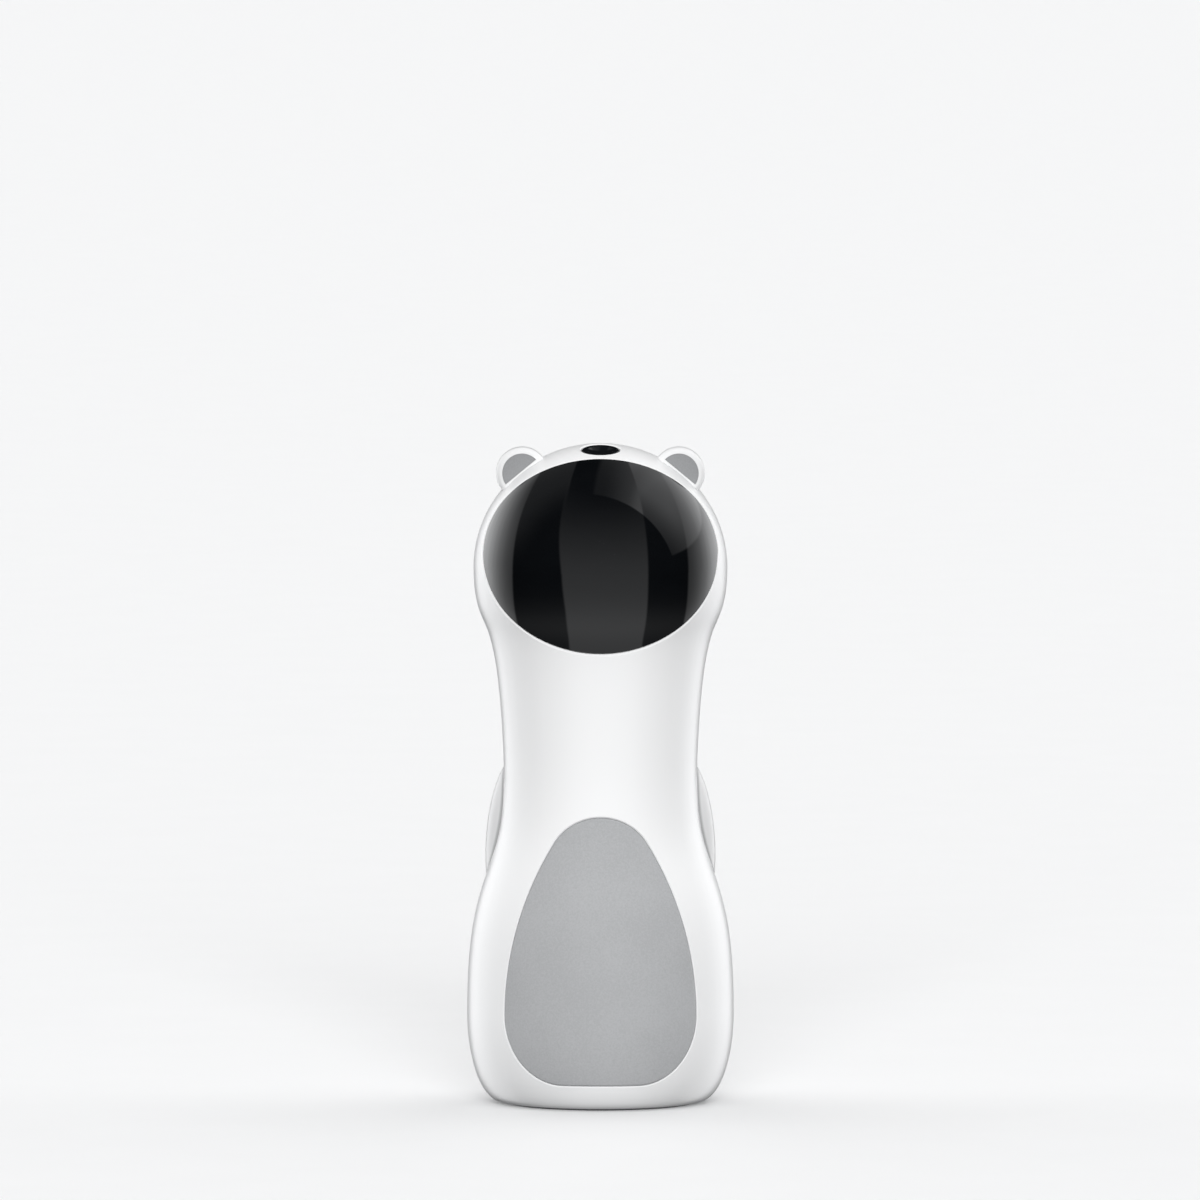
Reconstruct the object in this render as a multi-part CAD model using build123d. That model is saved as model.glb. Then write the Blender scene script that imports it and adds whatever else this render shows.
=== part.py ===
from build123d import *
import os
from functools import cache
from math import acos, asin, atan2, cos, degrees, pi, radians, sin, sqrt, tan

# Cat laser toy: a pin-shaped body in two moulded halves, with a pan and tilt laser behind a dark visor.
# Millimetres and degrees. The front faces -Y, the floor is z = 0 and the body's axis is Z.
# Left and right are as seen from the front, so left is -X.

# Body outline
TOTAL_HEIGHT = 140.0
CROWN_HEIGHT = 26.3
HEAD_RADIUS = 26.9
JAW_RADIUS = 23.9
NECK_RADIUS = 20.95
WAIST_RADIUS = 20.65
TUCK_RADIUS = 22.1
HIP_RADIUS = 25.4
BELLY_RADIUS = 28.3
BELLY_HEIGHT = 19.0
SOLE_CORNER = 7.0
SOLE_LIFT = 0.35
# Heights of the side points, as shares of the way from the belly's level to the head's level
HIP_SHARE = 0.274
TUCK_SHARE = 0.383
WAIST_SHARE = 0.491
NECK_SHARE = 0.655
JAW_SHARE = 0.858

# Moulded halves
WALL = 2.2
LIP_THICKNESS = 0.9
LIP_DEPTH = 1.5
LIP_GAP = 0.1
EDGE_BREAK = 0.25
SEAM_WIDTH = 0.3
SEAM_DEPTH = 0.35
POST_RADIUS = 3.2
WELL_RADIUS = 2.8
WELL_WALL = 1.2
WELL_GAP = 1.0
SCREW_SEAT = 3.0
SCREW_RADIUS = 1.1
SCREW_HEAD_RADIUS = 2.4
SCREW_HEAD_HEIGHT = 1.7
SCREW_LENGTH = 11.0
SCREW_GAP = 0.05
LOWER_SCREW_HEIGHT = 30.0
UPPER_SCREW_DROP = 16.4

# Face visor: an ellipse in the front view
VISOR_HALF_WIDTH = 24.9
VISOR_HALF_HEIGHT = 20.5
VISOR_RISE = 3.2
VISOR_THICKNESS = 1.2
VISOR_LEDGE = 1.6
VISOR_GAP = 0.12

# Belly panel: an egg in the front view
PANEL_TOP = 62.0
PANEL_BOTTOM = 5.6
PANEL_HALF_WIDTH = 20.3
PANEL_WIDE_HEIGHT = 20.0
PANEL_SIDE_RADIUS = 69.0
PANEL_FLAT = 8.0
PANEL_THICKNESS = 1.0
PANEL_GAP = 0.12
PEG_RADIUS = 1.2

# Ears and arms
EAR_RADIUS = 5.5
EAR_REACH = 26.1
EAR_ANGLE = 39.5
EAR_THICKNESS = 7.0
EAR_FRONT = -5.0
EAR_PAD_RADIUS = 4.2
EAR_PAD_DEPTH = 0.8
ARM_RADIUS = 6.5
ARM_LENGTH = 38.0
ARM_REACH = 24.35
ARM_LEAN = 3.0
ARM_BACK = 3.0
ARM_SKIN_COVER = 0.4
TAB_THICKNESS = 2.4
TAB_GAP = 0.1
SEAT_GAP = 0.05

# Foot pad
PAD_MARGIN = 1.0
PAD_THICKNESS = 1.2

# Crown button and its switch
CROWN_TILT = 13.5
BUTTON_RADIUS = 4.05
BUTTON_GAP = 0.15
BUTTON_SINK = 0.45
BUTTON_TRAVEL = 0.5
BUTTON_FLANGE = 1.2
SWITCH_WIDTH = 6.0
SWITCH_HEIGHT = 3.4
SWITCH_BOARD_WIDTH = 20.0
SWITCH_BOARD_DEPTH = 9.0
SWITCH_BOARD_THICKNESS = 1.2
SWITCH_POST_RADIUS = 1.7

# Pan drive
PAN_LIMIT = 50.0
GEARBOX_WIDTH = 12.0
GEARBOX_DEPTH = 10.0
GEARBOX_LENGTH = 9.0
MOTOR_LENGTH = 15.0
SHAFT_RADIUS = 1.5
SHAFT_FLAT = 1.0
RUNNING_GAP = 0.05
DECK_THICKNESS = 2.0
DECK_GAP = 0.5

# Tilt drive
TILT_UP = 5.0
TILT_DOWN = 35.0
GEAR_MODULE = 0.4
SECTOR_TEETH = 48
PINION_TEETH = 12
PRESSURE_ANGLE = 20.0
BACKLASH = 0.08
MESH_ANGLE = -45.0
GEAR_WIDTH = 1.5
TILT_MOTOR_RADIUS = 3.0
TILT_MOTOR_LENGTH = 19.0
TILT_SHAFT_RADIUS = 0.75

# Turret and laser
TURRET_RADIUS = 10.5
TURRET_PLATE = 2.5
TURRET_CLEARANCE = 2.5
CHEEK_THICKNESS = 2.0
CHEEK_WIDTH = 8.0
CRADLE_WIDTH = 9.0
CRADLE_LENGTH = 8.0
CRADLE_SHOULDER = 1.3
SIDE_PLAY = 0.2
PIN_RADIUS = 1.0
LASER_RADIUS = 3.25
LASER_LENGTH = 16.5
LASER_FRONT = -9.0

# Boards, charging socket and battery
BOARD_WIDTH = 26.0
BOARD_SHARE = 0.42
BOARD_THICKNESS = 1.6
BOARD_BOTTOM = 9.5
SOCKET_HEIGHT = 15.0
SOCKET_LENGTH = 10.2
SOCKET_WIDTH = 8.94
SOCKET_DEPTH = 3.26
BOARD_CLEARANCE = 0.3
PORT_RECESS = 0.3
PORT_MARGIN = 1.6
LAMP_OFFSET = 9.5
LAMP_RADIUS = 1.0
CELL_WIDTH = 26.0
CELL_SHARE = 0.4
CELL_THICKNESS = 9.0
CELL_BACK = -5.5
CELL_BOTTOM = 7.5
CELL_GAP = 0.15
TRAY_WALL = 1.4

# Levels that follow from the sizes above
FAR = 100.0
HEAD_LEVEL = TOTAL_HEIGHT - CROWN_HEIGHT
SOLE_RADIUS = BELLY_RADIUS - SOLE_CORNER
PAD_RADIUS = SOLE_RADIUS - PAD_MARGIN
BOARD_HEIGHT = BOARD_SHARE * (HEAD_LEVEL - BELLY_HEIGHT)
CELL_HEIGHT = CELL_SHARE * (HEAD_LEVEL - BELLY_HEIGHT)


def side_level(share):
    return BELLY_HEIGHT + share * (HEAD_LEVEL - BELLY_HEIGHT)


def side_points(inset):
    return [
        (BELLY_RADIUS - inset, BELLY_HEIGHT),
        (HIP_RADIUS - inset, side_level(HIP_SHARE)),
        (TUCK_RADIUS - inset, side_level(TUCK_SHARE)),
        (WAIST_RADIUS - inset, side_level(WAIST_SHARE)),
        (NECK_RADIUS - inset, side_level(NECK_SHARE)),
        (JAW_RADIUS - inset, side_level(JAW_SHARE)),
        (HEAD_RADIUS - inset, HEAD_LEVEL),
    ]


@cache
def side_curve(inset):
    return Spline(*side_points(inset), tangents=((0, 1), (0, 1)))


@cache
def body_form(inset, start=90):
    """The whole body as one turned solid, its skin moved inwards by the inset.

    The turning starts at the back unless another angle is given, so that no half holds the start line.
    """
    sole = SOLE_LIFT + inset
    crown = CROWN_HEIGHT - inset
    corner_width = BELLY_RADIUS - inset - SOLE_RADIUS
    outline = [
        Line((0, sole), (SOLE_RADIUS, sole)),
        EllipticalCenterArc(
            (SOLE_RADIUS, BELLY_HEIGHT), corner_width, BELLY_HEIGHT - sole, -90, arc_size=90
        ),
        side_curve(inset),
        EllipticalCenterArc((0, HEAD_LEVEL), HEAD_RADIUS - inset, crown, 0, arc_size=90),
        Line((0, HEAD_LEVEL + crown), (0, sole)),
    ]
    return Rot(0, 0, start) * revolve(Plane.XZ * make_face(outline), Axis.Z)


def skin_radius(height):
    """Radius of the outer skin at a height."""
    if height >= HEAD_LEVEL:
        return HEAD_RADIUS * sqrt(1 - ((height - HEAD_LEVEL) / CROWN_HEIGHT) ** 2)
    if height <= BELLY_HEIGHT:
        drop = (BELLY_HEIGHT - height) / (BELLY_HEIGHT - SOLE_LIFT)
        return SOLE_RADIUS + (BELLY_RADIUS - SOLE_RADIUS) * sqrt(1 - drop**2)
    low, high = 0.0, 1.0
    for _ in range(40):
        middle = (low + high) / 2
        if (side_curve(0) @ middle).Y < height:
            low = middle
        else:
            high = middle
    return (side_curve(0) @ low).X


def crown_reach(lean):
    """Distance from the head's middle to the skin, along a line that leans from upright."""
    across = sin(radians(lean)) / HEAD_RADIUS
    upright = cos(radians(lean)) / CROWN_HEIGHT
    return 1 / sqrt(across**2 + upright**2)


def block(x_range, y_range, z_range):
    size = [high - low for low, high in (x_range, y_range, z_range)]
    middle = [(high + low) / 2 for low, high in (x_range, y_range, z_range)]
    return Pos(*middle) * Box(*size)


def rod_x(radius, start, end, y, z):
    return Pos((start + end) / 2, y, z) * Rot(0, 90, 0) * Cylinder(radius, end - start)


def rod_y(radius, start, end, x, z):
    return Pos(x, (start + end) / 2, z) * Rot(90, 0, 0) * Cylinder(radius, end - start)


def rod_z(radius, start, end, x=0, y=0):
    return Pos(x, y, (start + end) / 2) * Cylinder(radius, end - start)


def slab(start, end):
    """A wide slice of space between two distances along Y."""
    return block((-FAR, FAR), (start, end), (-FAR, 2 * FAR))


def mirrored(part):
    return mirror(part, Plane.YZ)


# Window for the visor: its sides run straight out from the head's middle, square to the skin
def window_direction(turn, inset):
    x = VISOR_HALF_WIDTH * cos(turn)
    z = VISOR_RISE + VISOR_HALF_HEIGHT * sin(turn)
    depth = sqrt(skin_radius(HEAD_LEVEL + z) ** 2 - x**2)
    edge = Vector(x, -depth, z).normalized()
    middle = Vector(0, -skin_radius(HEAD_LEVEL + VISOR_RISE), VISOR_RISE).normalized()
    apart = radians(edge.get_angle(middle))
    shift = inset / HEAD_RADIUS
    return edge * (sin(apart - shift) / sin(apart)) + middle * (sin(shift) / sin(apart))


@cache
def window_cone(inset):
    steps = 28
    rays = [window_direction(2 * pi * step / steps, inset) for step in range(steps)]
    ends = []
    for distance in (2.0, 1.6 * HEAD_RADIUS):
        points = [ray * (distance / -ray.Y) + Vector(0, 0, HEAD_LEVEL) for ray in rays]
        ends.append(make_face(Spline(*points, periodic=True)))
    return loft(ends, ruled=True)


# Egg outline of the belly panel, drawn in the front view and cut straight back
@cache
def panel_prism(inset):
    half = PANEL_HALF_WIDTH - inset
    top = PANEL_TOP - inset
    bottom = PANEL_BOTTOM + inset
    wide = PANEL_WIDE_HEIGHT
    side = PANEL_SIDE_RADIUS - inset
    # The cap's middle lies on the axis, where its arc runs smoothly into the side arc
    cap_level = ((side - half) ** 2 + wide**2 - (side - top) ** 2) / (2 * (side - top + wide))
    turn = degrees(atan2(cap_level - wide, side - half))
    right = [
        Line((0, bottom), (PANEL_FLAT, bottom)),
        EllipticalCenterArc((PANEL_FLAT, wide), half - PANEL_FLAT, wide - bottom, -90, arc_size=90),
        CenterArc((half - side, wide), side, 0, turn),
        CenterArc((0, cap_level), top - cap_level, turn, 90 - turn),
    ]
    left = [mirror(edge, Plane.YZ) for edge in right]
    return extrude(Plane.XZ * make_face(right + left), amount=FAR)


# Crown parts stand on an axis through the head's middle that leans forward
CROWN_AXIS = Pos(0, 0, HEAD_LEVEL) * Rot(CROWN_TILT, 0, 0)
CROWN_REACH = crown_reach(CROWN_TILT)
COLLAR_END = CROWN_REACH - WALL - 0.9
BUTTON_TOP = CROWN_REACH - BUTTON_SINK
FLANGE_TOP = COLLAR_END - SEAT_GAP
FLANGE_RADIUS = BUTTON_RADIUS + BUTTON_FLANGE
STEM_END = FLANGE_TOP - 2.6
SWITCH_TOP = STEM_END - BUTTON_TRAVEL - 0.4
SWITCH_BOARD_TOP = SWITCH_TOP - SWITCH_HEIGHT
SWITCH_POST_X = FLANGE_RADIUS + SWITCH_POST_RADIUS + 0.5

# Tilt drive levels
PITCH_SECTOR = GEAR_MODULE * SECTOR_TEETH / 2
PITCH_PINION = GEAR_MODULE * PINION_TEETH / 2
ADDENDUM = 0.8 * GEAR_MODULE
DEDENDUM = 1.1 * GEAR_MODULE
GEAR_SPACING = PITCH_SECTOR + PITCH_PINION
TILT_MOTOR_Y = GEAR_SPACING * cos(radians(MESH_ANGLE))
TILT_MOTOR_Z = HEAD_LEVEL + GEAR_SPACING * sin(radians(MESH_ANGLE))
CHEEK_INNER = CRADLE_WIDTH / 2 + CRADLE_SHOULDER + SIDE_PLAY
CHEEK_OUTER = CHEEK_INNER + CHEEK_THICKNESS
GEAR_START = CHEEK_OUTER + 2 * SIDE_PLAY
GEAR_END = GEAR_START + GEAR_WIDTH
TURRET_TOP = HEAD_LEVEL - PITCH_SECTOR - ADDENDUM - TURRET_CLEARANCE
TURRET_BOTTOM = TURRET_TOP - TURRET_PLATE
DECK_TOP = TURRET_BOTTOM - 2.7
DECK_BOTTOM = DECK_TOP - DECK_THICKNESS
MOTOR_SCREW_X = 0.375 * GEARBOX_WIDTH

# Places of the screws that hold the halves together
LOWER_SCREW_X = BOARD_WIDTH / 2 + WELL_GAP + WELL_RADIUS + WELL_WALL
UPPER_SCREW_X = NECK_RADIUS - WALL - WELL_RADIUS - WELL_WALL - 3.9
UPPER_SCREW_HEIGHT = DECK_BOTTOM - UPPER_SCREW_DROP
SHELL_SCREWS = [
    (side * x, height)
    for x, height in ((LOWER_SCREW_X, LOWER_SCREW_HEIGHT), (UPPER_SCREW_X, UPPER_SCREW_HEIGHT))
    for side in (-1, 1)
]

# Chassis fixings
CHASSIS_TAB_X = NECK_RADIUS - WALL - 4.4
CHASSIS_TAB_Y = 5.0
CHASSIS_TAB_HEIGHT = 8.0
CHASSIS_SCREW_HEIGHT = DECK_BOTTOM - 4.5

# Main board, set so that the charging socket's mouth meets the recess in the rear shell
PORT_HALF_WIDTH = SOCKET_WIDTH / 2 + PORT_MARGIN
PORT_HALF_HEIGHT = SOCKET_DEPTH / 2 + PORT_MARGIN
PORT_FLOOR = sqrt(skin_radius(SOCKET_HEIGHT - PORT_HALF_HEIGHT) ** 2 - PORT_HALF_WIDTH**2) - PORT_RECESS
SOCKET_MOUTH = PORT_FLOOR - 0.1
BOARD_TOP = BOARD_BOTTOM + BOARD_HEIGHT
BOARD_ROOM = sqrt((skin_radius(BOARD_TOP) - WALL - BOARD_CLEARANCE) ** 2 - (BOARD_WIDTH / 2) ** 2)
BOARD_BACK = min(SOCKET_MOUTH - SOCKET_LENGTH, BOARD_ROOM)
BOARD_FRONT = BOARD_BACK - BOARD_THICKNESS
BOARD_SCREW_X = BOARD_WIDTH / 2 - 3.0
BOARD_SCREW_LEVELS = (BOARD_BOTTOM + 14.5, BOARD_TOP - 4.5)
BOARD_SCREWS = [(side * BOARD_SCREW_X, z) for side in (-1, 1) for z in BOARD_SCREW_LEVELS]
CHIP_BOTTOM = BOARD_BOTTOM + 0.36 * BOARD_HEIGHT

# Battery tray
TRAY_HALF = CELL_WIDTH / 2 + CELL_GAP + TRAY_WALL
TRAY_FRONT = CELL_BACK - CELL_THICKNESS - CELL_GAP - TRAY_WALL
TRAY_BOTTOM = CELL_BOTTOM - CELL_GAP - TRAY_WALL
TRAY_TOP = CELL_BOTTOM + CELL_HEIGHT + CELL_GAP + TRAY_WALL
TRAY_EAR_X = TRAY_HALF + 2.6
TRAY_EAR_HEIGHT = TRAY_BOTTOM + 7.0
TRAY_EAR_FRONT = TRAY_FRONT + 3.0
TRAY_EAR_THICKNESS = 2.0


def small_post_front(x, z, end, radius=2.6, hole=0.9, depth=5.0):
    """A screw post from the front wall back to a given Y, with its pilot hole."""
    post = rod_y(radius, -FAR, end, x, z) & body_form(WALL / 2)
    return post - rod_y(hole, end - depth, end, x, z)


def small_post_rear(x, z, start, radius=2.6, hole=0.9, depth=5.0):
    post = rod_y(radius, start, FAR, x, z) & body_form(WALL / 2, -90)
    return post - rod_y(hole, start, start + depth, x, z)


def screw(shank, length, head, head_height):
    """A round-headed screw along Z, its head seated at z = 0 and its shank pointing down."""
    dome = Cylinder(head, head_height, align=(Align.CENTER, Align.CENTER, Align.MIN))
    dome = fillet(dome.edges().sort_by(Axis.Z)[-1], 0.45 * head_height)
    return dome + Cylinder(shank, length, align=(Align.CENTER, Align.CENTER, Align.MAX))


# Slots for the tabs of ears and arms, cut through both halves at the parting plane
EAR_PLACE = Pos(0, 0, HEAD_LEVEL) * Rot(0, EAR_ANGLE, 0)
EAR_SKIN = crown_reach(EAR_ANGLE)
ARM_HEIGHT = side_level(WAIST_SHARE) - 6.5
ARM_MIDDLE = side_level(WAIST_SHARE) - 10.5
ARM_SKIN = skin_radius(ARM_HEIGHT)
TAB_FLANGE = 1.4


def ear_tab(grow):
    """Tab of the right ear: a stem through the wall and a cross bar behind it."""
    half = TAB_THICKNESS / 2 + grow
    stem = block((-2.5 - grow, 2.5 + grow), (-half, half), (EAR_SKIN - WALL - 2.2, EAR_SKIN + 0.8))
    return EAR_PLACE * stem


def ear_bar():
    half = TAB_THICKNESS / 2
    top = EAR_SKIN - WALL - 0.5
    return EAR_PLACE * block((-4.0, 4.0), (-half, half), (top - TAB_FLANGE, top))


def arm_tab(grow):
    half = TAB_THICKNESS / 2 + grow
    low, high = ARM_HEIGHT - 4.0 - grow, ARM_HEIGHT + 4.0 + grow
    return block((ARM_SKIN - WALL - 2.2, ARM_SKIN + 1.6), (-half, half), (low, high))


def arm_bar():
    half = TAB_THICKNESS / 2
    low, high = ARM_HEIGHT - 5.5, ARM_HEIGHT + 5.5
    inner = min(skin_radius(low), ARM_SKIN, skin_radius(high)) - WALL - 0.3
    return block((inner - TAB_FLANGE, inner), (-half, half), (low, high))


def tab_slots():
    right = ear_tab(TAB_GAP) + arm_tab(TAB_GAP)
    return right + mirrored(right)


def foot_recess():
    return rod_z(PAD_RADIUS + 0.1, -FAR, PAD_THICKNESS)


def on_skin(edge):
    """True for an edge that was cut into the outer skin, away from the seam between the halves."""
    for share in (0.02, 0.25, 0.5, 0.75, 0.98):
        point = edge @ share
        height = min(max(point.Z, SOLE_LIFT), TOTAL_HEIGHT)
        if abs(sqrt(point.X**2 + point.Y**2) - skin_radius(height)) > 0.02:
            return False
    return edge.geom_type != GeomType.CIRCLE and abs((edge @ 0.5).Y) > TAB_THICKNESS


def edges_broken(part):
    return chamfer([edge for edge in part.edges() if on_skin(edge)], EDGE_BREAK)


def front_shell():
    shell = (body_form(0) & slab(-FAR, 0)) - body_form(WALL)
    for x, z in SHELL_SCREWS:
        shell += small_post_front(x, z, 0, POST_RADIUS, SCREW_RADIUS + SCREW_GAP, SCREW_LENGTH)
    for side in (-1, 1):
        shell += small_post_front(side * TRAY_EAR_X, TRAY_EAR_HEIGHT, TRAY_EAR_FRONT)
    # Collar round the button and two posts for the switch board
    hole = BUTTON_RADIUS + BUTTON_GAP
    crown = rod_z(hole + 1.8, COLLAR_END, FAR)
    for side in (-1, 1):
        crown += rod_z(SWITCH_POST_RADIUS, SWITCH_BOARD_TOP, FAR, side * SWITCH_POST_X)
    shell += CROWN_AXIS * crown & body_form(WALL / 2) & slab(-FAR, -LIP_DEPTH - 2 * LIP_GAP)
    shell -= CROWN_AXIS * rod_z(hole, HEAD_RADIUS / 2, FAR)
    for side in (-1, 1):
        shell -= CROWN_AXIS * rod_z(0.85, SWITCH_BOARD_TOP, SWITCH_BOARD_TOP + 4, side * SWITCH_POST_X)
    # Visor seat and window
    seat = window_cone(0) - body_form(VISOR_THICKNESS + SEAT_GAP)
    shell -= seat
    shell -= window_cone(VISOR_LEDGE)
    # Belly panel seat and its two peg holes
    shell -= panel_prism(0) - body_form(PANEL_THICKNESS + SEAT_GAP)
    for height in PEG_HEIGHTS:
        shell -= rod_y(PEG_RADIUS + SEAT_GAP, -FAR, 0, 0, height)
    shell = edges_broken(shell)
    # Rebate for the rear half's lip, seam groove, tab slots and foot recess
    shell -= body_form(WALL - LIP_THICKNESS - LIP_GAP) & slab(-LIP_DEPTH - LIP_GAP, 0)
    shell -= slab(-SEAM_WIDTH / 2, 0) - body_form(SEAM_DEPTH)
    shell -= tab_slots()
    shell -= foot_recess()
    return shell


def rear_shell():
    shell = body_form(0, -90) & slab(0, FAR)
    shell += body_form(WALL - LIP_THICKNESS, -90) & slab(-LIP_DEPTH, 1)
    # The lip leaves a gap at the crown
    shell -= block((-4, 4), (-FAR, 0), (HEAD_LEVEL, 2 * FAR))
    shell -= body_form(WALL, -90)
    wells = []
    for x, z in SHELL_SCREWS:
        shell += rod_y(WELL_RADIUS + WELL_WALL, 0, FAR, x, z) & body_form(WALL / 2, -90)
        wells.append(rod_y(SCREW_RADIUS + 0.3, -1, FAR, x, z))
        wells.append(rod_y(WELL_RADIUS, SCREW_SEAT, FAR, x, z))
    for side in (-1, 1):
        shell += small_post_rear(side * CHASSIS_TAB_X, CHASSIS_SCREW_HEIGHT, CHASSIS_TAB_Y)
    for x, z in BOARD_SCREWS:
        shell += small_post_rear(x, z, BOARD_BACK, 2.2, 0.9, 3.6)
    for well in wells:
        shell -= well
    # Charging port: a rounded recess round the socket's mouth
    recess = SlotOverall(2 * PORT_HALF_WIDTH, 2 * PORT_HALF_HEIGHT)
    mouth = SlotOverall(SOCKET_WIDTH + 0.3, SOCKET_DEPTH + 0.3)
    port = Plane.XZ.offset(-PORT_FLOOR) * recess
    shell -= Pos(0, 0, SOCKET_HEIGHT) * extrude(port, amount=-FAR)
    shell = edges_broken(shell)
    shell -= Pos(0, 0, SOCKET_HEIGHT) * extrude(Plane.XZ * mouth, amount=-FAR)
    shell -= rod_y(LAMP_RADIUS + SEAT_GAP, BOARD_BACK, FAR, LAMP_OFFSET, SOCKET_HEIGHT)
    shell -= slab(0, SEAM_WIDTH / 2) - body_form(SEAM_DEPTH, -90)
    shell -= tab_slots()
    shell -= foot_recess()
    return shell


def face_visor():
    return edges_broken((body_form(0) - body_form(VISOR_THICKNESS)) & window_cone(VISOR_GAP))


PEG_HEIGHTS = (BELLY_HEIGHT, PANEL_TOP - 16.0)


def belly_panel():
    panel = edges_broken((body_form(0) - body_form(PANEL_THICKNESS)) & panel_prism(PANEL_GAP))
    for height in PEG_HEIGHTS:
        skin = skin_radius(height)
        panel += rod_y(PEG_RADIUS, -skin + PANEL_THICKNESS / 2, -skin + WALL + 1.0, 0, height)
    return panel


# Ears: thick rounded discs that stand on the head
EAR_SPOT = EAR_PLACE * Pos(0, 0, EAR_REACH)
PAD_CHORD = 0.35


def pad_prism(radius, chord, start, end):
    """Half-moon that lies on the ear's face, its straight edge towards the head."""
    moon = rod_y(radius, start, end, 0, 0)
    return EAR_SPOT * (moon & block((-FAR, FAR), (-FAR, FAR), (chord, FAR)))


def right_ear():
    back = EAR_FRONT + EAR_THICKNESS
    disc = rod_y(EAR_RADIUS, EAR_FRONT, back, 0, 0)
    rims = disc.edges().filter_by(GeomType.CIRCLE).sort_by(Axis.Y)
    disc = fillet(rims[0], 0.22 * EAR_THICKNESS)
    rims = disc.edges().filter_by(GeomType.CIRCLE).sort_by(Axis.Y)
    disc = fillet(rims[-1], 0.4 * EAR_THICKNESS)
    ear = EAR_SPOT * disc - body_form(-SEAT_GAP)
    ear += ear_tab(0) + ear_bar()
    return ear - pad_prism(EAR_PAD_RADIUS, PAD_CHORD, -FAR, EAR_FRONT + EAR_PAD_DEPTH)


def right_ear_pad():
    pad = pad_prism(EAR_PAD_RADIUS - 0.05, PAD_CHORD + 0.05, EAR_FRONT + 0.05, EAR_FRONT + EAR_PAD_DEPTH)
    return pad


def arm_lobe(inset):
    """The right arm's outer form, its skin moved inwards by the inset."""
    tip = ARM_LENGTH / 2 - inset
    outline = [
        EllipticalCenterArc((0, 0), ARM_RADIUS - inset, tip, -90, arc_size=180),
        Line((0, tip), (0, -tip)),
    ]
    lobe = revolve(Plane.XZ * make_face(outline), Axis.Z)
    return Pos(ARM_REACH - ARM_RADIUS, ARM_BACK, ARM_MIDDLE) * Rot(0, -ARM_LEAN, 0) * lobe


def right_arm():
    stem = arm_tab(0) & arm_lobe(ARM_SKIN_COVER)
    return arm_lobe(0) - body_form(-SEAT_GAP) + stem + arm_bar()


def foot_pad():
    pad = rod_z(PAD_RADIUS, 0, PAD_THICKNESS)
    return chamfer(pad.edges().sort_by(Axis.Z)[0], 0.25)


def shell_screws():
    one = screw(SCREW_RADIUS, SCREW_LENGTH + SCREW_SEAT - 1.5, SCREW_HEAD_RADIUS, SCREW_HEAD_HEIGHT)
    return [Pos(x, SCREW_SEAT, z) * Rot(-90, 0, 0) * one for x, z in SHELL_SCREWS]


# Chassis: a deck across the neck with two tabs, screwed to posts of the rear half
def stop_angle():
    return PAN_LIMIT + degrees(asin((STOP_FIN / 2 + STOP_POST + 0.2) / STOP_CIRCLE))


STOP_CIRCLE = 8.4
STOP_POST = 1.0
STOP_FIN = 2.0


def chassis():
    deck = body_form(WALL + DECK_GAP) & block((-FAR, FAR), (-FAR, FAR), (DECK_BOTTOM, DECK_TOP))
    deck -= block((-6, 6), (-FAR, -NECK_RADIUS + WALL + 6), (0, 2 * FAR))
    deck -= rod_z(2.2, DECK_BOTTOM, DECK_TOP)
    for side in (-1, 1):
        x = side * MOTOR_SCREW_X
        deck -= rod_z(0.9, DECK_BOTTOM, DECK_TOP, x) + rod_z(1.7, DECK_TOP - 1.1, DECK_TOP, x)
        turn = radians(90 + side * stop_angle())
        post = (STOP_CIRCLE * cos(turn), STOP_CIRCLE * sin(turn))
        deck += rod_z(STOP_POST, DECK_TOP - 0.5, TURRET_BOTTOM - 0.6, *post)
        x = side * CHASSIS_TAB_X
        tab = block(
            (x - 3, x + 3),
            (CHASSIS_TAB_Y - 2, CHASSIS_TAB_Y),
            (DECK_BOTTOM - CHASSIS_TAB_HEIGHT, DECK_BOTTOM + 0.5),
        )
        deck += tab - rod_y(1.15, 0, CHASSIS_TAB_Y, x, CHASSIS_SCREW_HEIGHT)
    return deck


def chassis_screws():
    one = Rot(90, 0, 0) * screw(0.85, 6.0, 1.9, 1.2)
    return [Pos(side * CHASSIS_TAB_X, CHASSIS_TAB_Y - 2, CHASSIS_SCREW_HEIGHT) * one for side in (-1, 1)]


def pan_gearbox():
    box = block(
        (-GEARBOX_WIDTH / 2, GEARBOX_WIDTH / 2),
        (-GEARBOX_DEPTH / 2, GEARBOX_DEPTH / 2),
        (DECK_BOTTOM - GEARBOX_LENGTH, DECK_BOTTOM),
    )
    box = chamfer(box.edges().filter_by(Axis.Z), 0.8)
    # Open middle between the two end plates, with the gear stack inside it
    open_low, open_high = DECK_BOTTOM - GEARBOX_LENGTH + 1.5, DECK_BOTTOM - 1.5
    box -= block((-4.2, 4.2), (-FAR, FAR), (open_low, open_high))
    box += rod_z(3.6, open_low, open_high)
    box -= rod_z(SHAFT_RADIUS + RUNNING_GAP, DECK_BOTTOM - 4, DECK_BOTTOM)
    for side in (-1, 1):
        box -= rod_z(0.85, DECK_BOTTOM - 1.5, DECK_BOTTOM, side * MOTOR_SCREW_X)
    return box


def pan_motor():
    top = DECK_BOTTOM - GEARBOX_LENGTH
    can = rod_z(GEARBOX_WIDTH / 2, top - MOTOR_LENGTH, top)
    can &= block((-FAR, FAR), (-GEARBOX_DEPTH / 2, GEARBOX_DEPTH / 2), (0, 2 * FAR))
    bearing = rod_z(2.4, top - MOTOR_LENGTH - 1.2, top - MOTOR_LENGTH)
    return can + bearing


def pan_shaft():
    shaft = rod_z(SHAFT_RADIUS, DECK_BOTTOM - 3.8, TURRET_TOP - 0.4)
    return shaft - block((-FAR, FAR), (SHAFT_FLAT, FAR), (DECK_TOP + 0.6, 2 * FAR))


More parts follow.
